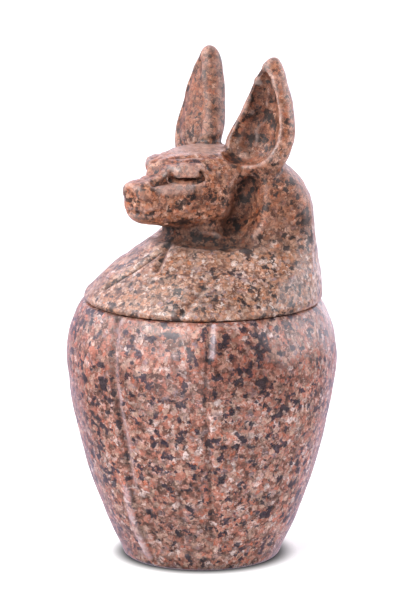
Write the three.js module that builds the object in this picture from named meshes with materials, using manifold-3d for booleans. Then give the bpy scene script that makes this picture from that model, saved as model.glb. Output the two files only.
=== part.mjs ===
// Canopic jar of polished granite: a hollow jar, and a lid carved as a jackal's head in a wig.
// Millimetres, +Z up, the jackal looks along -Y, the jar stands on z = 0 with its axis on Z.
import * as THREE from "three";
import { mergeVertices } from "three/addons/utils/BufferGeometryUtils.js";
import Module from "manifold-3d";

const wasm = await Module();
wasm.setup();

const DEG = Math.PI / 180;
const TURN = 2 * Math.PI;

// Jar: radius of the outside at each height, from the foot up to the mouth.
const JAR_OUTSIDE = [
  [0.0, 23.9],
  [0.5, 24.2],
  [3.0, 24.7],
  [8.0, 27.2],
  [14.0, 29.8],
  [22.0, 32.7],
  [30.0, 35.2],
  [38.0, 37.3],
  [46.0, 39.1],
  [54.0, 40.3],
  [61.5, 41.1],
  [69.0, 40.2],
  [75.0, 38.2],
  [77.8, 36.9],
  [79.0, 35.6],
];
const JAR_HEIGHT = 79.0;
const JAR_WALL = 7.0;
const JAR_FLOOR = 8.0;
const FLOOR_CORNER = 5.0;
const MOUTH_RADIUS = 26.5;
const MOUTH_DEPTH = 7.0;
const SHOULDER_BLEND = 9.0;
const CAVITY_ROWS = 8;
const JAR_SEGMENTS = 56;

// Jar carving: two long grooves either side of a front panel, two short ones in its foot.
const GROOVE_DEPTH = 0.8;
const GROOVE_HALF = 1.5;
const LONG_GROOVES = [11, 54];
const LONG_GROOVE_FROM = 9.0;
const LONG_GROOVE_TO = 77.0;
const SHORT_GROOVES = [21, 41];
const SHORT_GROOVE_FROM = 7.0;
const SHORT_GROOVE_TO = 22.0;
const GROOVE_STEPS = 12;

// Lid: the gap it leaves over the jar, its rim, and the cone of the chest and neck inside the wig.
const SEAM_GAP = 0.3;
const LID_FOOT = JAR_HEIGHT + SEAM_GAP;
const PLUG_RADIUS = 25.6;
const PLUG_DEPTH = 4.5;
const PLUG_CHAMFER = 0.8;
const CHEST = [
  [35.2, 79.3],
  [35.7, 80.1],
  [35.6, 81.0],
  [34.2, 82.6],
  [28.5, 88.2],
  [21.6, 93.2],
  [14.9, 98.2],
  [11.5, 102.5],
  [10.0, 110.0],
];

// Wig: height, radius at the back, then the front edge as an azimuth and a radius, then how far
// the face opening is hollowed behind that edge.
const WIG = [
  [79.4, 36.3, 35, 35.1, 0],
  [81.2, 36.8, 37, 35.3, 0],
  [85.0, 36.4, 43, 32.0, 0],
  [89.2, 35.9, 50, 27.6, 0],
  [92.0, 35.4, 60, 23.0, 0],
  [95.8, 34.9, 74, 19.5, 0],
  [99.5, 34.4, 92, 20.6, 2],
  [103.0, 34.1, 98, 23.4, 3],
  [107.0, 33.8, 100, 24.4, 3.5],
  [110.6, 33.0, 102, 24.2, 3.5],
  [114.4, 31.0, 103, 23.6, 3],
  [118.0, 27.9, 104, 22.6, 2],
  [120.4, 25.2, 105, 20.8, 1],
  [122.6, 20.6, 105, 17.6, 0],
  [124.2, 14.0, 105, 12.0, 0],
];
const WIG_CROWN = [0, 2.0, 124.9];
const WIG_UNDERSIDE = [0, 0, 79.4];
const WIG_SIDE = 130;
const WIG_FACE_SHARE = 0.24;
const WIG_SEGMENTS = 44;

// Head: distance in front of the axis, top, underside and half width of each section.
const HEAD = [
  [-12.0, 125.0, 99.0, 16.0],
  [-6.0, 125.6, 99.2, 15.8],
  [0.0, 125.5, 100.0, 14.6],
  [4.0, 125.3, 100.6, 13.4],
  [8.0, 125.0, 101.2, 12.0],
  [12.0, 124.1, 102.0, 10.3],
  [14.0, 123.0, 102.5, 8.9],
  [15.8, 121.3, 103.0, 7.7],
  [18.0, 119.3, 103.5, 6.9],
  [22.0, 118.3, 104.4, 6.6],
  [24.8, 117.9, 105.2, 6.0],
  [26.4, 117.7, 106.0, 5.1],
  [27.3, 117.2, 107.4, 3.9],
  [27.6, 116.4, 110.0, 2.4],
];
const HEAD_TIP = [27.7, 113.4];
const HEAD_BACK = [-12.1, 112.0];
const HEAD_WIDEST = 0.5;
const CROWN_SQUARENESS = 3.1;
const JAW_SQUARENESS = 2.4;
const HEAD_LEAN = 0.1;
const HEAD_SEGMENTS = 28;

// Brow over each eye, and the slit under it.
const BROW = { at: [7.4, -11.6, 120.9], half: [2.4, 6.0, 2.0], turn: -38 };
const EYE_SLIT = { at: [8.4, -12.8, 118.5], half: [1.7, 5.8, 0.8], turn: -38 };
const BEAD_SEGMENTS = [16, 10];

// Mouth: a cut round the front of the muzzle.
const MOUTH = { at: [0, -23.6, 109.2], half: [6.6, 5.6, 0.5] };

// Ears: height, distance out and back of the axis, width and thickness of each section.
const EAR = [
  [117.5, 12.7, 8.0, 16.0, 9.6],
  [120.0, 13.2, 8.6, 19.6, 10.8],
  [124.0, 13.7, 9.8, 22.4, 11.6],
  [128.4, 14.0, 11.0, 23.2, 11.8],
  [132.0, 14.4, 12.2, 21.4, 11.6],
  [136.0, 14.8, 13.2, 18.4, 11.3],
  [140.0, 15.0, 14.0, 15.4, 10.9],
  [144.0, 14.9, 14.6, 12.1, 9.9],
  [148.0, 14.7, 15.2, 8.8, 8.0],
  [151.0, 14.7, 15.5, 5.4, 5.6],
  [152.7, 14.8, 15.6, 2.9, 3.2],
];
const EAR_TIP = [153.4, 14.9, 15.6];
const EAR_FACING = 15;
const EAR_SEGMENTS = 24;

// Hollow of each ear: height, half width and depth of each section of the space cut away.
const HOLLOW = [
  [122.4, 5.2, 3.6],
  [124.5, 7.8, 5.4],
  [128.4, 9.2, 6.6],
  [133.0, 8.4, 6.4],
  [138.0, 6.6, 5.6],
  [143.0, 4.5, 4.4],
  [147.0, 2.4, 2.6],
];
const HOLLOW_ENDS = [121.3, 149.2];
const HOLLOW_SEGMENTS = 18;

const GRANITE = 0xa77d75;

// Values at a point between the rows of a table whose first column rises.
function between(rows) {
  const at = rows.map((row) => row[0]);
  const values = rows.flatMap((row) => row.slice(1));
  const curve = new THREE.LinearInterpolant(at, values, rows[0].length - 1);
  return (place) => Array.from(curve.evaluate(place));
}

// A closed body from three.js geometry, for cutting and joining.
function solid(geometry) {
  const bare = geometry.clone();
  bare.deleteAttribute("normal");
  bare.deleteAttribute("uv");
  const merged = mergeVertices(bare, 1e-4);
  const vertProperties = new Float32Array(merged.attributes.position.array);
  const triVerts = new Uint32Array(merged.index.array);
  return new wasm.Manifold(new wasm.Mesh({ numProp: 3, vertProperties, triVerts }));
}

// A named mesh of a finished body, in its own granite.
function piece(name, body) {
  const mesh = body.getMesh();
  const corners = new Float32Array(mesh.numVert * 3);
  for (let i = 0; i < mesh.numVert; i++) {
    const from = i * mesh.numProp;
    corners.set(mesh.vertProperties.subarray(from, from + 3), i * 3);
  }
  const geometry = new THREE.BufferGeometry();
  geometry.setAttribute("position", new THREE.BufferAttribute(corners, 3));
  geometry.setIndex(new THREE.BufferAttribute(new Uint32Array(mesh.triVerts), 1));
  geometry.computeVertexNormals();
  const stone = new THREE.MeshStandardMaterial({ color: GRANITE, roughness: 0.4, metalness: 0 });
  const made = new THREE.Mesh(geometry, stone);
  made.name = name;
  return made;
}

// A skin over closed rings: row 0 and the last row close to a point, the rings run between them.
// The rings turn counter-clockwise seen from row 0's end.
function skin(around, rings, first, last, place) {
  const rows = rings.length + 1;
  const geometry = new THREE.SphereGeometry(1, around, rows);
  const position = geometry.attributes.position;
  for (let i = 0; i < position.count; i++) {
    const row = Math.floor(i / (around + 1));
    const share = (i % (around + 1)) % around;
    let point = first;
    if (row === rows) point = last;
    else if (row > 0) point = place(rings[row - 1], (TURN * share) / around);
    position.setXYZ(i, ...point);
  }
  return solid(geometry);
}

// A body of revolution about Z from [radius, height] pairs, bottom to top on the outside.
function turned(profile, segments) {
  const points = profile.map(([radius, height]) => new THREE.Vector2(radius, height));
  const geometry = new THREE.LatheGeometry(points, segments);
  geometry.rotateX(Math.PI / 2);
  return solid(geometry);
}

// Azimuth in degrees from the way the jackal looks, towards its left.
function polar(radius, azimuth, height) {
  const angle = azimuth * DEG;
  return [radius * Math.sin(angle), -radius * Math.cos(angle), height];
}

// Corner of a squared-off oval at an angle: the two offsets as shares of its half sizes.
function squared(angle, power) {
  const part = (value) => Math.sign(value) * Math.abs(value) ** (2 / power);
  return [part(Math.cos(angle)), part(Math.sin(angle))];
}

// A stretched ball, turned about Z.
function bead({ at, half, turn = 0 }) {
  const geometry = new THREE.SphereGeometry(1, ...BEAD_SEGMENTS);
  geometry.scale(...half);
  geometry.rotateZ(turn * DEG);
  geometry.translate(...at);
  return solid(geometry);
}

// The same body on the other side of the jackal's face.
const mirrored = (body) => body.mirror([1, 0, 0]);

// ---- Jar ----
const jarRadius = between(JAR_OUTSIDE);

function jarInside() {
  const profile = [[0, JAR_FLOOR]];
  const low = JAR_FLOOR + FLOOR_CORNER;
  const high = JAR_HEIGHT - MOUTH_DEPTH - SHOULDER_BLEND;
  profile.push([jarRadius(low)[0] - JAR_WALL - FLOOR_CORNER, JAR_FLOOR]);
  for (let i = 0; i <= CAVITY_ROWS; i++) {
    const height = low + ((high - low) * i) / CAVITY_ROWS;
    profile.push([jarRadius(height)[0] - JAR_WALL, height]);
  }
  profile.push([MOUTH_RADIUS, JAR_HEIGHT - MOUTH_DEPTH]);
  profile.push([MOUTH_RADIUS, JAR_HEIGHT]);
  return profile;
}

function groove(azimuth, from, to) {
  const path = [];
  for (let i = 0; i <= GROOVE_STEPS; i++) {
    const height = from + ((to - from) * i) / GROOVE_STEPS;
    const radius = jarRadius(height)[0] + GROOVE_HALF - GROOVE_DEPTH;
    path.push(new THREE.Vector3(...polar(radius, azimuth, height)));
  }
  const section = new THREE.Shape([
    new THREE.Vector2(GROOVE_HALF, 0),
    new THREE.Vector2(0, GROOVE_HALF),
    new THREE.Vector2(-GROOVE_HALF, 0),
    new THREE.Vector2(0, -GROOVE_HALF),
  ]);
  const extrudePath = new THREE.CatmullRomCurve3(path);
  const options = { steps: GROOVE_STEPS, bevelEnabled: false, extrudePath };
  return solid(new THREE.ExtrudeGeometry(section, options));
}

function jar() {
  const outside = JAR_OUTSIDE.map(([height, radius]) => [radius, height]);
  const profile = [[0, 0], ...outside, ...jarInside().reverse()];
  let body = turned(profile, JAR_SEGMENTS);
  for (const azimuth of LONG_GROOVES)
    body = body.subtract(groove(azimuth, LONG_GROOVE_FROM, LONG_GROOVE_TO));
  for (const azimuth of SHORT_GROOVES)
    body = body.subtract(groove(azimuth, SHORT_GROOVE_FROM, SHORT_GROOVE_TO));
  return body;
}

// ---- Lid ----
function chest() {
  const plug = [
    [0, LID_FOOT - PLUG_DEPTH],
    [PLUG_RADIUS - PLUG_CHAMFER, LID_FOOT - PLUG_DEPTH],
    [PLUG_RADIUS, LID_FOOT - PLUG_DEPTH + PLUG_CHAMFER],
    [PLUG_RADIUS, LID_FOOT],
  ];
  const top = CHEST[CHEST.length - 1];
  return turned([...plug, ...CHEST, [0, top[1]]], JAR_SEGMENTS);
}

// One point of the wig's outline at a height. Share 0 is the middle of the face opening, the
// front edge follows, and share 1 is the middle of the back.
function wigPoint([height, back, edge, front, dip], angle) {
  const side = angle <= Math.PI ? 1 : -1;
  const share = (side > 0 ? angle : TURN - angle) / Math.PI;
  if (share < WIG_FACE_SHARE) {
    const across = share / WIG_FACE_SHARE;
    const [x, y] = polar(front, edge, height);
    const hollow = dip * Math.cos((across * Math.PI) / 2);
    return [side * x * across, y + hollow, height];
  }
  const past = (share - WIG_FACE_SHARE) / (1 - WIG_FACE_SHARE);
  const azimuth = edge + (180 - edge) * past;
  const blend = THREE.MathUtils.smootherstep(azimuth, edge, WIG_SIDE);
  const radius = THREE.MathUtils.lerp(front, back, blend);
  return polar(radius, side * azimuth, height);
}

function wig() {
  return skin(WIG_SEGMENTS, [...WIG].reverse(), WIG_CROWN, WIG_UNDERSIDE, wigPoint);
}

function head() {
  const rings = [...HEAD].reverse();
  const tip = [0, -HEAD_TIP[0], HEAD_TIP[1]];
  const back = [0, -HEAD_BACK[0], HEAD_BACK[1]];
  return skin(HEAD_SEGMENTS, rings, tip, back, ([ahead, top, under, half], angle) => {
    const middle = under + (top - under) * HEAD_WIDEST;
    const upper = angle < Math.PI;
    const [across, up] = squared(angle, upper ? CROWN_SQUARENESS : JAW_SQUARENESS);
    const rise = (upper ? top - middle : middle - under) * up;
    return [half * across, -ahead - HEAD_LEAN * rise, middle + rise];
  });
}

// A section of an ear or of its hollow, laid out across the way the ear faces.
function earSection(out, behind, height, half, deep, forward, angle) {
  const facing = EAR_FACING * DEG;
  const across = half * Math.cos(angle);
  const ahead = forward - deep * Math.sin(angle);
  return [
    out + across * Math.cos(facing) + ahead * Math.sin(facing),
    behind + across * Math.sin(facing) - ahead * Math.cos(facing),
    height,
  ];
}

function ear() {
  const outside = skin(
    EAR_SEGMENTS,
    [...EAR].reverse(),
    [EAR_TIP[1], EAR_TIP[2], EAR_TIP[0]],
    [EAR[0][1], EAR[0][2], EAR[0][0]],
    ([height, out, behind, width, thick], angle) =>
      earSection(out, behind, height, width / 2, thick / 2, 0, angle),
  );
  const axis = between(EAR);
  const end = (height) => {
    const [out, behind, , thick] = axis(height);
    return earSection(out, behind, height, 0, 0, thick / 2, 0);
  };
  const hollow = skin(
    HOLLOW_SEGMENTS,
    [...HOLLOW].reverse(),
    end(HOLLOW_ENDS[1]),
    end(HOLLOW_ENDS[0]),
    ([height, half, deep], angle) => {
      const [out, behind, , thick] = axis(height);
      return earSection(out, behind, height, half, deep, thick / 2, angle);
    },
  );
  return { outside, hollow };
}

function lid() {
  const { outside, hollow } = ear();
  const brow = bead(BROW);
  const slit = bead(EYE_SLIT);
  return chest()
    .add(wig())
    .add(head())
    .add(brow)
    .add(mirrored(brow))
    .add(outside)
    .add(mirrored(outside))
    .subtract(hollow)
    .subtract(mirrored(hollow))
    .subtract(slit)
    .subtract(mirrored(slit))
    .subtract(bead(MOUTH));
}

const canopicJar = new THREE.Group();
canopicJar.name = "canopic_jar";
canopicJar.add(piece("jar", jar()));
canopicJar.add(piece("lid", lid()));

export default canopicJar;
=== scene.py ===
import math

import bmesh
import bpy
import numpy as np
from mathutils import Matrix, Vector, noise


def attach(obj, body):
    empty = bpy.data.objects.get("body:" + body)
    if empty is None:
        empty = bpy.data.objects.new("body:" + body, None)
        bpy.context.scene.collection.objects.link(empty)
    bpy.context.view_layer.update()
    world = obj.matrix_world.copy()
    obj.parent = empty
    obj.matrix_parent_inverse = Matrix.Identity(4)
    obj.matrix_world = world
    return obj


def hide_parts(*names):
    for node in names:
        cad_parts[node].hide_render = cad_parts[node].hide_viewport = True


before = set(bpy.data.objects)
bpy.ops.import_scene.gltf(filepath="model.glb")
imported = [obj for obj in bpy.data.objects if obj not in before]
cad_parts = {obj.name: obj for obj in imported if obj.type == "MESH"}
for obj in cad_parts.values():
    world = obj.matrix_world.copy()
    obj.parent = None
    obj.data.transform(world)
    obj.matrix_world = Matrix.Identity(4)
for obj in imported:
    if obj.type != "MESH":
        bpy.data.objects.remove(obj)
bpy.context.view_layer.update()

# ---------------------------------------------------------------- jar
# The jar is one block of pink granite, turned outside, hollowed from the top and polished.
# A panel between two long cut grooves is carved in its front, with shallower cuts in its foot.
# It stands on its own flat foot, and nothing is fixed to it.

MM = 0.001

JAR_OUTSIDE = [
    (0.0, 23.0),
    (0.4, 23.6),
    (1.3, 24.1),
    (3.2, 24.9),
    (8.0, 27.2),
    (14.0, 29.8),
    (22.0, 32.7),
    (30.0, 35.2),
    (38.0, 37.3),
    (46.0, 39.1),
    (54.0, 40.3),
    (61.5, 41.0),
    (69.0, 40.2),
    (75.0, 38.2),
    (77.8, 36.8),
    (78.7, 36.0),
    (79.0, 35.4),
]
JAR_INSIDE = [
    (79.0, 27.1),
    (78.6, 26.6),
    (72.0, 26.5),
    (67.5, 30.2),
    (61.0, 34.1),
    (50.0, 32.9),
    (38.0, 30.3),
    (26.0, 26.9),
    (16.0, 23.5),
    (11.0, 20.4),
    (8.6, 16.5),
    (8.0, 11.0),
]
JAR_FLOOR = 8.0
OUTSIDE_ROWS = 150
INSIDE_ROWS = 34
JAR_TURNS = 480
JAR_WELD = 1e-6


def catmull(rows, count):
    """A smooth run of count points through rows of numbers."""
    table = np.array(rows, float)
    padded = np.vstack([2 * table[0] - table[1], table, 2 * table[-1] - table[-2]])
    spans = np.linalg.norm(np.diff(table, axis=0), axis=1)
    along = np.concatenate([[0], np.cumsum(spans)])
    places = np.linspace(0, along[-1], count)
    out = []
    for place in places:
        i = min(int(np.searchsorted(along, place, side="right")) - 1, len(table) - 2)
        t = (place - along[i]) / spans[i]
        a, b, c, d = padded[i : i + 4]
        bend = 2 * a - 5 * b + 4 * c - d
        twist = 3 * b - a - 3 * c + d
        out.append(0.5 * (2 * b + (c - a) * t + bend * t**2 + twist * t**3))
    return np.array(out)


def finished(name, bm):
    """A smooth-shaded object from a bmesh in metres, standing at the origin."""
    mesh = bpy.data.meshes.new(name)
    bmesh.ops.recalc_face_normals(bm, faces=bm.faces)
    for face in bm.faces:
        face.smooth = True
    bm.to_mesh(mesh)
    bm.free()
    made = bpy.data.objects.new(name, mesh)
    bpy.context.scene.collection.objects.link(made)
    return made


def points_of(mesh):
    """Vertices and their normals, in millimetres and unit vectors."""
    places = np.empty(len(mesh.vertices) * 3)
    facing = np.empty(len(mesh.vertices) * 3)
    mesh.vertices.foreach_get("co", places)
    mesh.vertex_normals.foreach_get("vector", facing)
    return places.reshape(-1, 3) / MM, facing.reshape(-1, 3)


def move_points(mesh, places):
    mesh.vertices.foreach_set("co", (places * MM).ravel())
    mesh.update()


def near_path(places, path):
    """Each point's distance from a line through the places of a path."""
    best = np.full(len(places), np.inf)
    for a, b in zip(path[:-1], path[1:]):
        start, step = np.array(a, float), np.array(b, float) - np.array(a, float)
        share = np.clip((places - start) @ step / (step @ step), 0, 1)
        away = np.linalg.norm(places - start - share[:, None] * step, axis=1)
        best = np.minimum(best, away)
    return best


def stroke(places, facing, path, reach, push):
    """Push the skin out, or in when push is negative, within reach of a path."""
    fall = np.clip(1 - (near_path(places, path) / reach) ** 2, 0, 1)
    return places + facing * (push * fall**2)[:, None]


def cut(places, facing, path, reach, depth):
    """A straight-sided groove of the given half width and depth along a path."""
    fall = np.clip(1 - near_path(places, path) / reach, 0, 1)
    return places - facing * (depth * fall)[:, None]


def unevenness(places, size, amount, seed):
    """The slow waviness that hand polishing leaves: a shift for each point."""
    offset = Vector((seed, seed * 1.7, seed * 0.3))
    shift = [noise.noise(Vector(place) / size + offset) for place in places]
    return amount * np.array(shift)


def jar_mesh():
    outside = catmull(JAR_OUTSIDE, OUTSIDE_ROWS)
    inside = catmull(JAR_INSIDE, INSIDE_ROWS)
    profile = [(0.0, 0.0)] + [(r, z) for z, r in outside] + [(r, z) for z, r in inside]
    profile.append((0.0, JAR_FLOOR))
    bm = bmesh.new()
    verts = [bm.verts.new((r * MM, 0, z * MM)) for r, z in profile]
    edges = [bm.edges.new(pair) for pair in zip(verts[:-1], verts[1:])]
    bmesh.ops.spin(
        bm,
        geom=verts + edges,
        cent=(0, 0, 0),
        axis=(0, 0, 1),
        angle=2 * math.pi,
        steps=JAR_TURNS,
        use_merge=True,
        use_duplicate=False,
    )
    bmesh.ops.remove_doubles(bm, verts=bm.verts, dist=JAR_WELD)
    return bm


# Paths on the outside: azimuth from the way the jackal looks, and height, from the top down.
LEFT_GROOVE = [
    (7.0, 78.6), (8.7, 71.0), (10.2, 61.0), (11.2, 53.0),
    (12.4, 46.0), (13.2, 37.0), (12.6, 27.0),
]
LEFT_STEP = [(12.6, 27.0), (12.0, 22.0), (11.6, 17.0), (12.0, 10.5), (14.5, 3.4)]
RIGHT_GROOVE = [
    (54.3, 78.6), (53.2, 70.0), (52.2, 61.0), (52.4, 50.0),
    (53.4, 41.0), (54.6, 31.0), (56.2, 21.0), (57.8, 8.0),
]
FOOT_CUTS = [
    [(20.6, 24.5), (19.4, 17.0), (17.6, 9.0)],
    [(39.6, 26.5), (38.8, 17.0), (37.4, 9.5)],
]
# A darker brown patch of stone at the upper right, painted shade left of the left groove, and a painted
# highlight high on the left of the panel.
STAIN = [(63.0, 70.0), (72.0, 68.0), (80.0, 63.0)]
SHADED = [(-22.0, 66.0), (-14.0, 56.0), (-8.0, 46.0), (2.0, 60.0)]
PAINTED_SHEEN = [(17.0, 72.0), (29.0, 69.0), (38.0, 62.0)]

# Half width and depth of each cut, and of the worn ridge that stands left of the step.
LEFT_GROOVE_CUT = (1.4, 1.0)
LEFT_STEP_CUT = (1.3, 0.6)
RIGHT_GROOVE_CUT = (1.3, 1.15)
FOOT_CUT = (1.7, 1.0)
RIDGE = (2.2, 0.5)
RIDGE_TURN = -4.0

# The panel sinks deeper towards the foot, and fades out at the rim and just above the foot.
PANEL_SINK = 0.5
PANEL_SINK_FOOT = 1.3
PANEL_DEEPENS = (32, 12)
PANEL_RIM_FADE = (79.5, 70.5)
PANEL_FOOT_FADE = (4.2, 5.6)

# Size, amount and seed of the waviness of a polished jar.
JAR_WAVES = [(12.0, 0.3, 3.0), (4.5, 0.12, 9.0)]

# Grooves and cuts where painted shade and grime darken the stone, each with its reach.
JAR_GROOVE_SHADE = [(LEFT_GROOVE, 1.3), (RIGHT_GROOVE, 1.3), (LEFT_STEP, 0.9)]
JAR_GROOVE_SHADE += [(path, 1.2) for path in FOOT_CUTS]

# Paths along which pale highlights are painted on the groove edges and the ridge: turn, reach, core and
# strength.
JAR_HIGHLIGHTS = [
    (RIGHT_GROOVE[:2], 1.3, 1.0, 1.3, 0.8),
    (LEFT_GROOVE, 1.5, 0.9, 1.3, 0.5),
    (LEFT_STEP, RIDGE_TURN, 1.1, 1.4, 0.7),
]


def smoothstep(low, high, value):
    t = np.clip((value - low) / (high - low), 0, 1)
    return t * t * (3 - 2 * t)


def wrapped(path, turn=0.0):
    """A path given as azimuth and height, laid on the outside of the jar."""
    heights, radii = zip(*JAR_OUTSIDE)
    laid = []
    for azimuth, height in path:
        radius = np.interp(height, heights, radii)
        angle = math.radians(azimuth + turn)
        laid.append((radius * math.sin(angle), -radius * math.cos(angle), height))
    return laid


def carry(mesh, name, values):
    """Keep a number for each point, for the material to read."""
    kept = mesh.attributes.new(name, "FLOAT", "POINT")
    kept.data.foreach_set("value", np.clip(values, 0, 1).astype(np.float32))


def band(places, path, reach, core, ragged=0.0):
    """1 along a path, falling to 0 at core times reach from it, with a ragged edge if wanted."""
    return np.clip(core - near_path(places, path) / reach + ragged, 0, 1)


def blotch(places, path, reach, size, seed):
    """A soft patch of stone along a path on the jar, with an uneven edge."""
    return band(places, wrapped(path), reach, 1.7, unevenness(places, size, 0.8, seed))


def outer_skin(places):
    """Which points are on the turned outside, away from its foot and rim."""
    height = places[:, 2]
    heights, radii = zip(*JAR_OUTSIDE)
    radius = np.hypot(places[:, 0], places[:, 1])
    return (np.abs(radius - np.interp(height, heights, radii)) < 1.5) & (height > 0.3) & (height < 78.9)


def panel_share(places):
    """1 inside the front panel, 0 outside it, and a soft step at its two edges."""
    height = places[:, 2]
    azimuth = np.degrees(np.arctan2(places[:, 0], -places[:, 1]))
    mm_per_degree = np.hypot(places[:, 0], places[:, 1]) * math.pi / 180

    def edge_of(*paths):
        line = sorted((h, a) for path in paths for a, h in path)
        return np.interp(height, [h for h, _ in line], [a for _, a in line])

    from_left = (azimuth - edge_of(LEFT_GROOVE, LEFT_STEP)) * mm_per_degree
    from_right = (edge_of(RIGHT_GROOVE) - azimuth) * mm_per_degree
    return smoothstep(-0.4, 0.9, from_left) * smoothstep(-0.3, 1.0, from_right)


def carve_jar(mesh, places, facing):
    height = places[:, 2]
    depth = PANEL_SINK + (PANEL_SINK_FOOT - PANEL_SINK) * smoothstep(*PANEL_DEEPENS, height)
    fade = smoothstep(*PANEL_RIM_FADE, height) * smoothstep(*PANEL_FOOT_FADE, height)
    out = places - facing * (panel_share(places) * depth * fade)[:, None]
    out = cut(out, facing, wrapped(LEFT_GROOVE), *LEFT_GROOVE_CUT)
    out = cut(out, facing, wrapped(LEFT_STEP), *LEFT_STEP_CUT)
    out = stroke(out, facing, wrapped(LEFT_STEP, RIDGE_TURN), *RIDGE)
    out = cut(out, facing, wrapped(RIGHT_GROOVE), *RIGHT_GROOVE_CUT)
    for path in FOOT_CUTS:
        out = cut(out, facing, wrapped(path), *FOOT_CUT)
    for waves in JAR_WAVES:
        out += facing * unevenness(places, *waves)[:, None]
    move_points(mesh, np.where(outer_skin(places)[:, None], out, places))


def mark_jar(mesh, places):
    """Keep, for each point, how much painted shade and grime darken the stone, how much painted highlight
    lightens it, and how much stain and painted shade darken it.
    """
    # Painted shade and grime low in the sunk panel and along the grooves, cuts and step; the same value
    # also dulls the polish.
    shade_and_grime = 0.35 * panel_share(places) * smoothstep(30, 12, places[:, 2])
    for path, reach in JAR_GROOVE_SHADE:
        shade_and_grime = np.maximum(shade_and_grime, band(places, wrapped(path, -1.0), reach, 1.0))
    # Painted highlights: a pale sheen high on the left of the panel, and pale lines along the groove edges
    # and the ridge.
    highlight_and_wear = 0.10 * blotch(places, PAINTED_SHEEN, 7.0, 5.0, 27.0)
    for path, turn, reach, core, strength in JAR_HIGHLIGHTS:
        highlight_and_wear = np.maximum(highlight_and_wear, strength * band(places, wrapped(path, turn), reach, core))
    highlight_and_wear = highlight_and_wear * (0.8 + unevenness(places, 2.5, 0.7, 5.0))
    # Painted shade left of the left groove, kept with the brown stain in one value.
    shaded = 0.7 * blotch(places, SHADED, 9.0, 6.0, 15.0)
    stain_and_shade = np.maximum(blotch(places, STAIN, 7.0, 6.0, 11.0), shaded)
    outer = outer_skin(places)
    carry(mesh, "shade_and_grime", shade_and_grime * outer)
    carry(mesh, "highlight_and_wear", highlight_and_wear * outer)
    carry(mesh, "stain_and_shade", stain_and_shade * outer)


class Wire:
    """A value in a shader: arithmetic on it adds the node that works it out."""

    def __init__(self, tree, socket):
        self.tree = tree
        self.socket = socket

    def math(self, operation, *values):
        return self.tree.node("ShaderNodeMath", {"operation": operation}, dict(enumerate(values)))[0]

    def __add__(self, other):
        return self.math("ADD", self, other)

    def __sub__(self, other):
        return self.math("SUBTRACT", self, other)

    def __mul__(self, other):
        return self.math("MULTIPLY", self, other)

    def __rsub__(self, other):
        return self.math("SUBTRACT", other, self)

    __radd__ = __add__
    __rmul__ = __mul__

    def above(self, low, high):
        """0 under low, 1 over high, and a soft step between."""
        settings = {"interpolation_type": "SMOOTHSTEP"}
        values = {"Value": self, "From Min": low, "From Max": high}
        return self.tree.node("ShaderNodeMapRange", settings, values)[0]


# Which output of a node says where a point is, and what an attribute holds there.
GENERATED = 0
OBJECT = 3
FACTOR = 2


class Shader:
    """The node tree of a material, or of the room."""

    def __init__(self, owner, surface="Principled BSDF"):
        owner.use_nodes = True
        self.owner = owner
        self.nodes = owner.node_tree.nodes
        self.links = owner.node_tree.links
        self.surface = self.nodes[surface]

    def put(self, socket, value):
        if isinstance(value, Wire):
            self.links.new(value.socket, socket)
        else:
            socket.default_value = value

    def node(self, kind, settings=None, values=None):
        """Add a node, set it up, feed it, and give back its live outputs."""
        made = self.nodes.new(kind)
        for key, value in (settings or {}).items():
            setattr(made, key, value)
        for key, value in (values or {}).items():
            self.put(made.inputs[key], value)
        return [Wire(self, socket) for socket in made.outputs if socket.enabled]

    def mix(self, share, first, second):
        made = self.nodes.new("ShaderNodeMix")
        made.data_type = "RGBA"
        colours = [socket for socket in made.inputs if socket.type == "RGBA"]
        self.put(made.inputs["Factor"], share)
        self.put(colours[0], first)
        self.put(colours[1], second)
        return Wire(self, next(socket for socket in made.outputs if socket.type == "RGBA"))

    def vector(self, operation, first, second):
        return self.node("ShaderNodeVectorMath", {"operation": operation}, {0: first, 1: second})[0]

    def set(self, **values):
        for key, value in values.items():
            self.put(self.surface.inputs[key.replace("_", " ")], value)


def linear(red, green, blue):
    """A colour picked in display values, for a shader."""
    channels = [c / 255 for c in (red, green, blue)]
    return tuple(c / 12.92 if c <= 0.04045 else ((c + 0.055) / 1.055) ** 2.4 for c in channels) + (1.0,)


BEIGE = linear(184, 148, 132)
PALE = linear(208, 186, 182)
GREY = linear(138, 115, 121)
BROWN = linear(102, 70, 62)

# Sizes in millimetres on the jar, of the grains and of what bends their edges. The lid's are finer.
GRAIN = 1.8
FINE_GRAIN = 0.85
MICA_GRAIN = 2.0
SWIRL = 1.4
SWIRL_PUSH = (2.8,) * 3
RAGGED = 0.5
RAGGED_PUSH = (1.3,) * 3
MIDDLE_GREY = (0.5, 0.5, 0.5)


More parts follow.
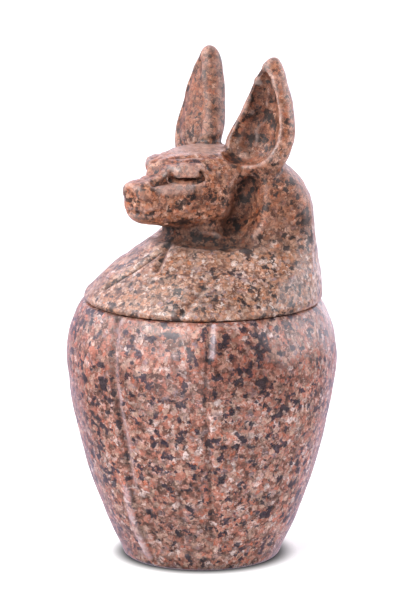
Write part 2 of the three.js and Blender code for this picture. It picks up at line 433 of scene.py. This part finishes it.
def granite(name, stone):
    """Polished pink granite: interlocked grains a millimetre or two across."""
    s = Shader(bpy.data.materials.new(name))
    here = s.node("ShaderNodeTexCoord")[OBJECT]
    seed, salmon = stone["seed"], stone["salmon"]
    placing = {"Vector": here, "Location": (seed, seed * 0.7, -seed), "Scale": (stone["per_metre"],) * 3}
    moved = s.node("ShaderNodeMapping", {}, placing)[0]

    def wavy(size, detail=2.0):
        return s.node("ShaderNodeTexNoise", {}, {"Vector": moved, "Scale": 1 / size, "Detail": detail})

    def grains(place, size, blend):
        """Distance from the middle of a grain, and two random numbers that it keeps all over."""
        values = {"Vector": place, "Scale": 1 / size, "Smoothness": blend}
        cell = s.node("ShaderNodeTexVoronoi", {"feature": "SMOOTH_F1"}, values)
        parts = s.node("ShaderNodeSeparateColor", {}, {"Color": cell[1]})
        return cell[0], parts[0], parts[1]

    def grey(value):
        return s.node("ShaderNodeCombineColor", {}, {0: value, 1: value, 2: value})[0]

    shade_and_grime = s.node("ShaderNodeAttribute", {"attribute_name": "shade_and_grime"})[FACTOR]
    highlight_and_wear = s.node("ShaderNodeAttribute", {"attribute_name": "highlight_and_wear"})[FACTOR]
    stain_and_shade = s.node("ShaderNodeAttribute", {"attribute_name": "stain_and_shade"})[FACTOR]
    swirl = s.vector("SUBTRACT", wavy(SWIRL, 3.0)[1], MIDDLE_GREY)
    ragged = s.vector("SUBTRACT", wavy(RAGGED)[1], MIDDLE_GREY)
    bent = s.vector("ADD", moved, s.vector("MULTIPLY", swirl, SWIRL_PUSH))
    bent = s.vector("ADD", bent, s.vector("MULTIPLY", ragged, RAGGED_PUSH))
    zone = wavy(9.0)[0] - 0.5
    away, pick, tint = grains(bent, GRAIN, 0.35)
    fine_away, fine_pick, fine_tint = grains(bent, FINE_GRAIN, 0.4)
    pick = pick + zone * 0.8

    colour = BROWN
    bands = [
        (0.10, 0.26, salmon),
        (0.40, 0.56, BEIGE),
        (0.60, 0.74, GREY),
        (0.72, 0.84, stone["orange"]),
        (0.86, 0.94, PALE),
    ]
    for low, high, wash in bands:
        colour = s.mix(pick.above(low, high), colour, wash)
    between = s.mix(fine_tint.above(0.3, 0.7), BEIGE, salmon)
    colour = s.mix(fine_pick.above(0.46, 0.66) * 0.6, colour, between)
    colour = s.mix(fine_pick.above(0.80, 0.92) * 0.45, colour, PALE)
    colour = s.mix((1.0 - fine_pick.above(0.14, 0.28)) * 0.75, colour, BROWN)

    cluster = wavy(5.5)[0]
    dark_more = shade_and_grime * stone["mica_in_shade_and_grime"] + stain_and_shade * stone["mica_in_stain_and_shade"] + stone["more_mica"]
    dark_away, dark_pick, _ = grains(s.vector("ADD", bent, (40.0, 11.0, 3.0)), MICA_GRAIN, 0.15)
    smudge = wavy(1.9, 3.0)[0]
    dark = dark_pick * 0.55 + smudge * 1.1 + cluster.above(0.35, 0.70) * 0.34 - dark_away * 0.2 + dark_more
    colour = s.mix(dark.above(1.0, 1.13) * 0.88, colour, stone["mica"])

    gaps = 1.0 - away.above(0.40, 0.78) * 0.40
    fine_gaps = 1.0 - fine_away.above(0.40, 0.80) * 0.35
    patch = wavy(4.5)[0]
    broad = wavy(16.0)[0]
    shade = (0.17 + broad * 0.62 + wavy(0.4)[0] * 0.25 + patch * 0.66) * gaps * fine_gaps
    colour = s.vector("MULTIPLY", s.vector("MULTIPLY", colour, stone["tint"]), grey(shade))
    # Painted shade and grime darken the recesses, and stains and painted shade darken their patches.
    colour = s.mix(shade_and_grime, colour, s.vector("MULTIPLY", colour, stone["shade_and_grime_tint"]))
    colour = s.mix(stain_and_shade, colour, s.vector("MULTIPLY", colour, stone["stain_and_shade_tint"]))
    # Painted highlights and crushed wear turn the stone pale.
    colour = s.mix(highlight_and_wear * (0.45 + fine_pick * 0.4), colour, stone["highlight_and_wear_colour"])

    pits = wavy(0.35)[0].above(0.62, 0.74)
    roughness = 0.25 + tint * 0.10 + pits * 0.25 + shade_and_grime * 0.5
    height = wavy(0.6)[0] * 0.6 - pits * 0.5
    bump = s.node("ShaderNodeBump", {}, {"Strength": 0.3, "Distance": 0.00012, "Height": height})[0]
    s.set(Base_Color=colour, Roughness=roughness, Normal=bump, IOR=1.5)
    return s.owner


# Colours of the grains and of the painted highlights and crushed wear, tints of the stone, of its painted
# shade and grime and of its stains and painted shade, and how much black mica is added.
JAR_STONE = {
    "seed": 0.0,
    "per_metre": 1000,
    "salmon": linear(174, 108, 91),
    "orange": linear(180, 97, 70),
    "mica": linear(41, 37, 55),
    "highlight_and_wear_colour": linear(194, 174, 180),
    "tint": (0.94, 0.935, 0.92),
    "shade_and_grime_tint": (0.60, 0.54, 0.52),
    "stain_and_shade_tint": (0.68, 0.58, 0.55),
    "mica_in_shade_and_grime": 0.0,
    "mica_in_stain_and_shade": 0.08,
    "more_mica": 0.0,
}

jar = finished("jar_body", jar_mesh())
jar_places, jar_facing = points_of(jar.data)
carve_jar(jar.data, jar_places, jar_facing)
mark_jar(jar.data, jar_places)
jar.data.materials.append(granite("jar_granite", JAR_STONE))
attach(jar, "root")
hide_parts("jar")

# ---------------------------------------------------------------- lid
# The lid is a second block of the same granite: a jackal's head in a wig, with tall open ears.
# The wig spreads to a thin rim that sits on the jar, and a shallow plug under it fills the mouth.
# Nothing fixes it: it lifts off.

LID_VOXEL = 0.5
LID_WELD = 2e-6

# The stone left standing in the right ear: height, out and back of the axis, half width, half depth.
RIGHT_EAR = [
    (120.0, 13.2, 8.6, 0.0, 0.0),
    (122.0, 13.5, 9.2, 8.4, 3.0),
    (126.0, 13.8, 10.3, 10.2, 4.6),
    (130.0, 14.2, 11.6, 10.4, 4.9),
    (135.0, 14.7, 13.0, 8.9, 4.7),
    (140.0, 15.0, 14.0, 7.2, 4.4),
    (145.0, 14.9, 14.8, 5.4, 3.9),
    (149.0, 14.7, 15.3, 3.6, 3.0),
    (151.0, 14.7, 15.5, 0.0, 0.0),
]
EAR_FACING = 15.0
LEAF_SEGMENTS = 32
LEAF_RINGS = 24


def fill_ear(bm):
    """Add a leaf of stone inside the right ear, for the net to join to it."""
    leaf = bmesh.ops.create_uvsphere(bm, u_segments=LEAF_SEGMENTS, v_segments=LEAF_RINGS, radius=1)["verts"]
    table = np.array(RIGHT_EAR)
    turn = math.radians(EAR_FACING)
    for vert in leaf:
        height = table[0, 0] + (table[-1, 0] - table[0, 0]) * (vert.co.z + 1) / 2
        out, behind, half, deep = (np.interp(height, table[:, 0], table[:, i]) for i in (1, 2, 3, 4))
        round_by = max(math.hypot(vert.co.x, vert.co.y), 1e-6)
        across, ahead = half * vert.co.x / round_by, -deep * vert.co.y / round_by
        x = out + across * math.cos(turn) + ahead * math.sin(turn)
        y = behind + across * math.sin(turn) - ahead * math.cos(turn)
        vert.co = Vector((-x, y, height)) * MM


def merged_copy(node, name):
    """The solid lid as one joined skin."""
    bm = bmesh.new()
    bm.from_mesh(node.data)
    bmesh.ops.remove_doubles(bm, verts=bm.verts, dist=LID_WELD)
    fill_ear(bm)
    return finished(name, bm)


def remeshed(obj, size):
    """The same body under an even net of small squares."""
    net = obj.modifiers.new("net", "REMESH")
    net.mode = "VOXEL"
    net.voxel_size = size * MM
    shown = obj.evaluated_get(bpy.context.evaluated_depsgraph_get())
    mesh = bpy.data.meshes.new_from_object(shown)
    obj.modifiers.clear()
    obj.data = mesh
    return mesh


def pulled(mesh, places):
    """A step that gives each point the middle of its neighbours."""
    ends = np.empty(len(mesh.edges) * 2, int)
    mesh.edges.foreach_get("vertices", ends)
    a, b = ends.reshape(-1, 2).T
    both, other = np.concatenate([a, b]), np.concatenate([b, a])
    count = np.bincount(both, minlength=len(places))

    def step(now):
        return np.stack([np.bincount(both, now[other, axis], len(now)) / count for axis in range(3)], 1)

    return step


STEP_IN = 0.6
STEP_BACK = -0.62


def relax(mesh, places, weight, rounds):
    """Even out facets without shrinking: each point steps to its neighbours' middle and back."""
    step = pulled(mesh, places)
    for _ in range(rounds):
        for share in (STEP_IN, STEP_BACK):
            places = places + share * weight[:, None] * (step(places) - places)
    return places


def settled(mesh, places, rounds):
    """The same skin with everything small worn away."""
    step = pulled(mesh, places)
    for _ in range(rounds):
        places = step(places)
    return places


# Paths on the left of the head: out, back and height. The right of it mirrors them.
EYE_SLIT = [
    (4.6, -21.6, 118.0), (5.6, -18.6, 118.3), (7.3, -16.1, 118.1), (9.3, -13.2, 117.8),
    (10.4, -10.8, 117.6), (11.2, -9.2, 118.6), (11.2, -9.4, 120.6),
]
EYE_CORNER = [(4.6, -21.6, 118.0), (5.4, -19.6, 118.2), (6.3, -17.6, 118.3)]
LOWER_LID = [(6.0, -21.0, 116.4), (7.6, -16.8, 116.3), (9.9, -13.2, 116.5)]
UPPER_LID = [(7.0, -16.4, 120.0), (9.2, -13.2, 119.9), (10.4, -11.0, 120.0)]
BROW = [(3.4, -17.4, 121.9), (6.2, -15.6, 121.8), (8.8, -12.8, 121.8), (10.6, -9.4, 122.2)]
BROW_TOP_LINE = [(1.4, -13.4, 124.4), (4.6, -11.0, 124.6), (7.6, -7.2, 124.6)]
MOUTH_LINE = [(6.1, -21.0, 109.6), (5.5, -24.5, 109.0), (2.4, -26.7, 108.8), (0.0, -27.2, 108.7)]
NOSTRIL = [(3.9, -27.2, 112.6), (4.6, -26.4, 112.2)]
CHEEK_BACK = [
    (17.4, 6.0, 117.3), (15.2, 3.6, 113.6), (14.6, 2.6, 109.6), (13.0, 2.4, 105.2), (12.4, 0.6, 101.6),
]
THROAT = [
    (1.9, -13.2, 100.3), (5.2, -12.4, 100.1), (9.3, -10.2, 99.8),
    (12.6, -7.0, 99.2), (15.4, -3.0, 98.6), (18.6, 0.6, 99.4),
]
WIG_EDGE = [
    (20.9, 6.0, 118.2), (21.9, 5.9, 114.7), (21.5, 5.4, 110.2),
    (19.9, 4.9, 106.0), (17.7, 3.6, 102.2), (15.9, 1.6, 99.7),
]

# Paths that have no mirror image.
LEFT_EAR_HOLLOW = [
    (13.6, 12.1, 146.9), (13.3, 12.8, 141.6), (12.7, 12.6, 136.4), (12.0, 11.6, 130.9), (11.6, 9.6, 126.2),
]
RIGHT_EAR_VALLEY = [(-15.6, 13.0, 148.0), (-14.6, 13.2, 141.0), (-14.0, 12.6, 134.0), (-13.6, 11.4, 128.0)]
LAPPET_EDGE = [
    (20.4, -12.0, 91.6), (21.4, -16.6, 89.4), (22.3, -19.4, 87.0), (22.7, -22.6, 84.6), (22.8, -27.4, 80.9),
]
CHEST_FOLDS = [
    [(1.8, -15.9, 97.4), (0.2, -20.4, 94.1), (-2.1, -24.3, 91.2), (-5.2, -28.3, 87.8), (-8.4, -30.2, 84.8)],
    [(2.4, -15.4, 98.0), (4.2, -19.4, 94.4), (6.2, -22.6, 91.8)],
]

# Strokes of the chisel on each side of the head: path, reach and push, which is negative inwards.
HEAD_STROKES = [
    (BROW, 2.4, 0.8),
    (UPPER_LID, 1.8, 0.5),
    (LOWER_LID, 2.4, 0.7),
    (EYE_CORNER, 2.4, -1.7),
    (EYE_SLIT, 1.15, -1.35),
    (BROW_TOP_LINE, 1.3, -0.5),
    (MOUTH_LINE, 1.0, -0.7),
    (NOSTRIL, 1.3, -0.6),
    (CHEEK_BACK, 5.5, -1.6),
    (CHEEK_BACK, 2.8, -1.0),
    (THROAT, 3.6, -1.8),
]

# Half width and depth of the straight cuts.
VALLEY_CUT = (3.4, 1.3)
LAPPET_CUT = (1.9, 0.8)
FOLD_CUT = (1.7, 1.2)

# Size, amount and seed of the waviness of the lid, its face and the hollow of its left ear.
LID_WAVES = [(9.0, 0.35, 21.0), (3.2, 0.16, 37.0)]
FACE_WAVES = (1.7, 1.0, 51.0)
EAR_WAVES = (3.6, 1.5, 61.0)

# Rounds of smoothing: the whole lid, the right ear, the worn wig edge, and the last touch.
LID_ROUNDS = 46
EAR_ROUNDS = 31
WORN_ROUNDS = 54
LAST_ROUNDS = 2

# Rounds that wear away small and wide shapes, to tell where the skin dips or stands out.
SMALL_ROUNDS = 11
WIDE_ROUNDS = 132

EARS_OPEN_TO = np.array((0.35, -0.93, 0.0))


def on_side(path, side):
    """A path of the head, on its left for 1 and its right for -1."""
    return [(side * x, y, z) for x, y, z in path]


def seen_ahead(facing):
    """1 where the skin faces ahead, as the open side of an ear does."""
    return smoothstep(0.0, 0.5, facing @ EARS_OPEN_TO)


def carve_lid(mesh):
    places, facing = points_of(mesh)
    z = places[:, 2]
    firm = smoothstep(79.6, 82.0, z)
    head = smoothstep(3.0, -3.0, places[:, 1]) * smoothstep(99.0, 103.0, z)
    ears = smoothstep(122.0, 127.0, z)
    right_ear = ears * (places[:, 0] < 0)
    weight = firm * (1 - 0.6 * head) * (1 - 0.7 * ears * (places[:, 0] > 0))
    move_points(mesh, relax(mesh, places, weight, LID_ROUNDS))
    places, facing = points_of(mesh)
    ahead = seen_ahead(facing)
    places = relax(mesh, places, right_ear, EAR_ROUNDS)
    places = cut(places, facing * (ahead * right_ear)[:, None], RIGHT_EAR_VALLEY, *VALLEY_CUT)
    rough = ahead * band(places, LEFT_EAR_HOLLOW, 4.0, 1.5)
    places = places + facing * (rough * unevenness(places, *EAR_WAVES))[:, None]
    for side in (1, -1):
        for path, reach, push in HEAD_STROKES:
            places = stroke(places, facing, on_side(path, side), reach, push)
        worn = 0.9 * band(places, on_side(WIG_EDGE, side), 5.0, 1.5)[:, None]
        places = places + worn * (settled(mesh, places, WORN_ROUNDS) - places)
    places = cut(places, facing, LAPPET_EDGE, *LAPPET_CUT)
    for path in CHEST_FOLDS:
        places = cut(places, facing, path, *FOLD_CUT)
    for waves in LID_WAVES:
        places = places + facing * (firm * unevenness(places, *waves))[:, None]
    face = 0.3 * head * smoothstep(112.0, 119.0, places[:, 2]) * (1 - ears)
    places = places + facing * (face * unevenness(places, *FACE_WAVES))[:, None]
    move_points(mesh, relax(mesh, places, firm, LAST_ROUNDS))
    return firm


def mark_lid(mesh, firm):
    """Keep, for each point, how much painted shade and grime darken the stone, how much painted highlight
    and crushed wear lighten it, and how stained and browner it is.
    """
    places, facing = points_of(mesh)
    y, z = places[:, 1], places[:, 2]
    dips = ((settled(mesh, places, SMALL_ROUNDS) - places) * facing).sum(1)
    wide_dips = ((settled(mesh, places, WIDE_ROUNDS) - places) * facing).sum(1)

    # Painted shade: under the jaw, over the wig, in the dips that smoothing finds, in the left ear's
    # hollow, along the throat, behind the cheek, on the right ear and in the eye corner.
    under_jaw = smoothstep(96.5, 98.5, z) * smoothstep(104.5, 102.0, z) * smoothstep(2.0, -3.0, y)
    wig = smoothstep(93.0, 99.0, z) * smoothstep(124.5, 122.0, z) * smoothstep(-2.0, 4.0, y)
    painted_shades = [
        dips * 1.8 + np.minimum(wide_dips, 1.6) * 0.3,
        seen_ahead(facing) * np.minimum(band(places, LEFT_EAR_HOLLOW, 3.4, 1.6), 0.85),
        band(places, THROAT, 4.6, 1.5) * smoothstep(96.0, 97.5, z),
        0.95 * under_jaw,
        0.78 * band(places, CHEEK_BACK, 4.5, 1.3),
        0.42 * smoothstep(124.0, 128.0, z) * (places[:, 0] < 0),
        0.26 * wig,
        0.9 * band(places, EYE_CORNER, 1.6, 1.3),
    ]
    carry(mesh, "shade_and_grime", firm * np.maximum.reduce(painted_shades))

    # Painted highlights and crushed wear on ridges and rims, paler lower lids, and a painted highlight on
    # the up-facing crown.
    lids = [[(x, y, z - 0.4) for x, y, z in on_side(LOWER_LID, side)] for side in (1, -1)]
    painted_highlights = [
        np.minimum(-dips * 1.8 - 0.15, 0.45),
        0.65 * np.maximum(*[band(places, lid_path, 1.7, 1.4) for lid_path in lids]),
        0.5 * smoothstep(0.9, 0.97, facing[:, 2]) * smoothstep(123.0, 124.0, z),
    ]
    carry(mesh, "highlight_and_wear", firm * np.maximum.reduce(painted_highlights))

    muzzle = smoothstep(0.0, -14.0, y) * smoothstep(99.0, 104.0, z)
    stains = [np.where(z < 124.0, 0.9, 0.5), muzzle, smoothstep(124.0, 130.0, z)]
    carry(mesh, "stain_and_shade", smoothstep(94.0, 107.0, z) * np.maximum.reduce(stains))


LID_STONE = {
    "seed": 61.0,
    "per_metre": 1250,
    "salmon": linear(168, 115, 90),
    "orange": linear(174, 105, 70),
    "mica": linear(38, 31, 36),
    "highlight_and_wear_colour": linear(200, 170, 160),
    "tint": (0.93, 0.94, 0.885),
    "shade_and_grime_tint": (0.34, 0.25, 0.20),
    "stain_and_shade_tint": (0.93, 0.67, 0.53),
    "mica_in_shade_and_grime": 0.10,
    "mica_in_stain_and_shade": 0.0,
    "more_mica": -0.03,
}

lid = merged_copy(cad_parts["lid"], "lid_carving")
remeshed(lid, LID_VOXEL)
mark_lid(lid.data, carve_lid(lid.data))
for polygon in lid.data.polygons:
    polygon.use_smooth = True
lid.data.materials.append(granite("lid_granite", LID_STONE))
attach(lid, "root")
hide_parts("lid")

# ---------------------------------------------------------------- table
# A plain white sheet under the jar, wide enough to fill the view from every side.
# A painted shadow makes it darker in a narrow ring close round the foot.

SHEET_HALF = 6.0
FOOT_SHADE = (0.0225, 0.0305)
SHADE = (0.04, 0.04, 0.04, 1)
BLACK = (0, 0, 0, 1)
WHITE = (1, 1, 1, 1)

bm = bmesh.new()
bmesh.ops.create_grid(bm, x_segments=1, y_segments=1, size=SHEET_HALF)
table = finished("table", bm)
paper = Shader(bpy.data.materials.new("white_paper"))
speck = paper.node("ShaderNodeTexNoise", {}, {"Scale": 40.0})[0]
place = paper.node("ShaderNodeTexCoord")[OBJECT]
across = paper.node("ShaderNodeVectorMath", {"operation": "LENGTH"}, {0: place})[0]
# Painted contact shadow: inside this ring the sheet gets a dark base colour and stops glowing.
beyond_painted_shadow = across.above(*FOOT_SHADE)
sheet = paper.mix(speck * 0.04, linear(218, 218, 218), linear(208, 208, 208))
paper.set(
    Base_Color=paper.mix(beyond_painted_shadow, SHADE, sheet),
    Roughness=0.9,
    Emission_Color=paper.mix(beyond_painted_shadow, BLACK, WHITE),
    Emission_Strength=0.42,
)
table.data.materials.append(paper.owner)
table.visible_glossy = False

# ---------------------------------------------------------------- light and camera
# Soft lights stand to both sides, above and behind the jar, and a smaller one in front on the left.
# The room is dim in front of the jar and brighter behind it, and the camera sees it white.

VIEW_AZIMUTH = 50.0
VIEW_ELEVATION = 12.0
VIEW_DISTANCE = 1.317
MIDDLE = Vector((0, 0, 0.08))
ROOM_FRONT = (0.36, 0.36, 0.36, 1)
ROOM_BEHIND = (0.95, 0.80, 1.04, 1)
COOL = (0.93, 0.93, 1.0)
AIM = Vector((0.00045, 0.00053, 0.0766))
LENS = 255.7
FARTHEST = 20.0


def spherical(azimuth, elevation, distance, centre=MIDDLE):
    """A place round the jar: azimuth is from the camera, towards its right."""
    a, e = math.radians(VIEW_AZIMUTH + azimuth), math.radians(elevation)
    return centre + distance * Vector((math.sin(a) * math.cos(e), -math.cos(a) * math.cos(e), math.sin(e)))


def aimed(obj, place, target):
    obj.location = place
    obj.rotation_euler = (target - place).to_track_quat("-Z", "Y").to_euler()
    bpy.context.scene.collection.objects.link(obj)


def softbox(name, azimuth, elevation, distance, size, watts, tint=(1, 1, 1)):
    light = bpy.data.lights.new(name, "AREA")
    light.shape = "RECTANGLE"
    light.size, light.size_y = size
    light.energy = watts
    light.color = tint
    aimed(bpy.data.objects.new(name, light), spherical(azimuth, elevation, distance), MIDDLE)


softbox("left", -100, 28, 1.1, (1.2, 1.0), 8.0, COOL)
softbox("left_high", -72, 60, 1.0, (0.8, 0.6), 5.0)
softbox("front_left", -38, 34, 0.9, (0.62, 0.4), 7.4)
softbox("right", 92, 20, 1.1, (1.1, 0.8), 10.5, COOL)
softbox("right_back", 145, 14, 1.1, (0.9, 0.9), 3.5, COOL)
softbox("back", 180, 30, 1.3, (1.4, 0.9), 2.5)

room = Shader(bpy.data.worlds.new("room"), "Background")
view = math.radians(VIEW_AZIMUTH)
level = room.vector("MULTIPLY", room.node("ShaderNodeTexCoord")[GENERATED], (1, 1, 0))
heading = room.node("ShaderNodeVectorMath", {"operation": "NORMALIZE"}, {0: level})[0]
behind = room.vector("DOT_PRODUCT", heading, (-math.sin(view), math.cos(view), 0)).above(0.35, 0.9)
seen = room.node("ShaderNodeLightPath")[0]
room.set(Color=room.mix(seen, room.mix(behind, ROOM_FRONT, ROOM_BEHIND), WHITE))
bpy.context.scene.world = room.owner

camera = bpy.data.cameras.new("camera")
camera.lens = LENS
camera.clip_end = FARTHEST
eye = bpy.data.objects.new("camera", camera)
aimed(eye, spherical(0, VIEW_ELEVATION, VIEW_DISTANCE), AIM)
bpy.context.scene.camera = eye
bpy.context.scene.view_settings.view_transform = "Standard"
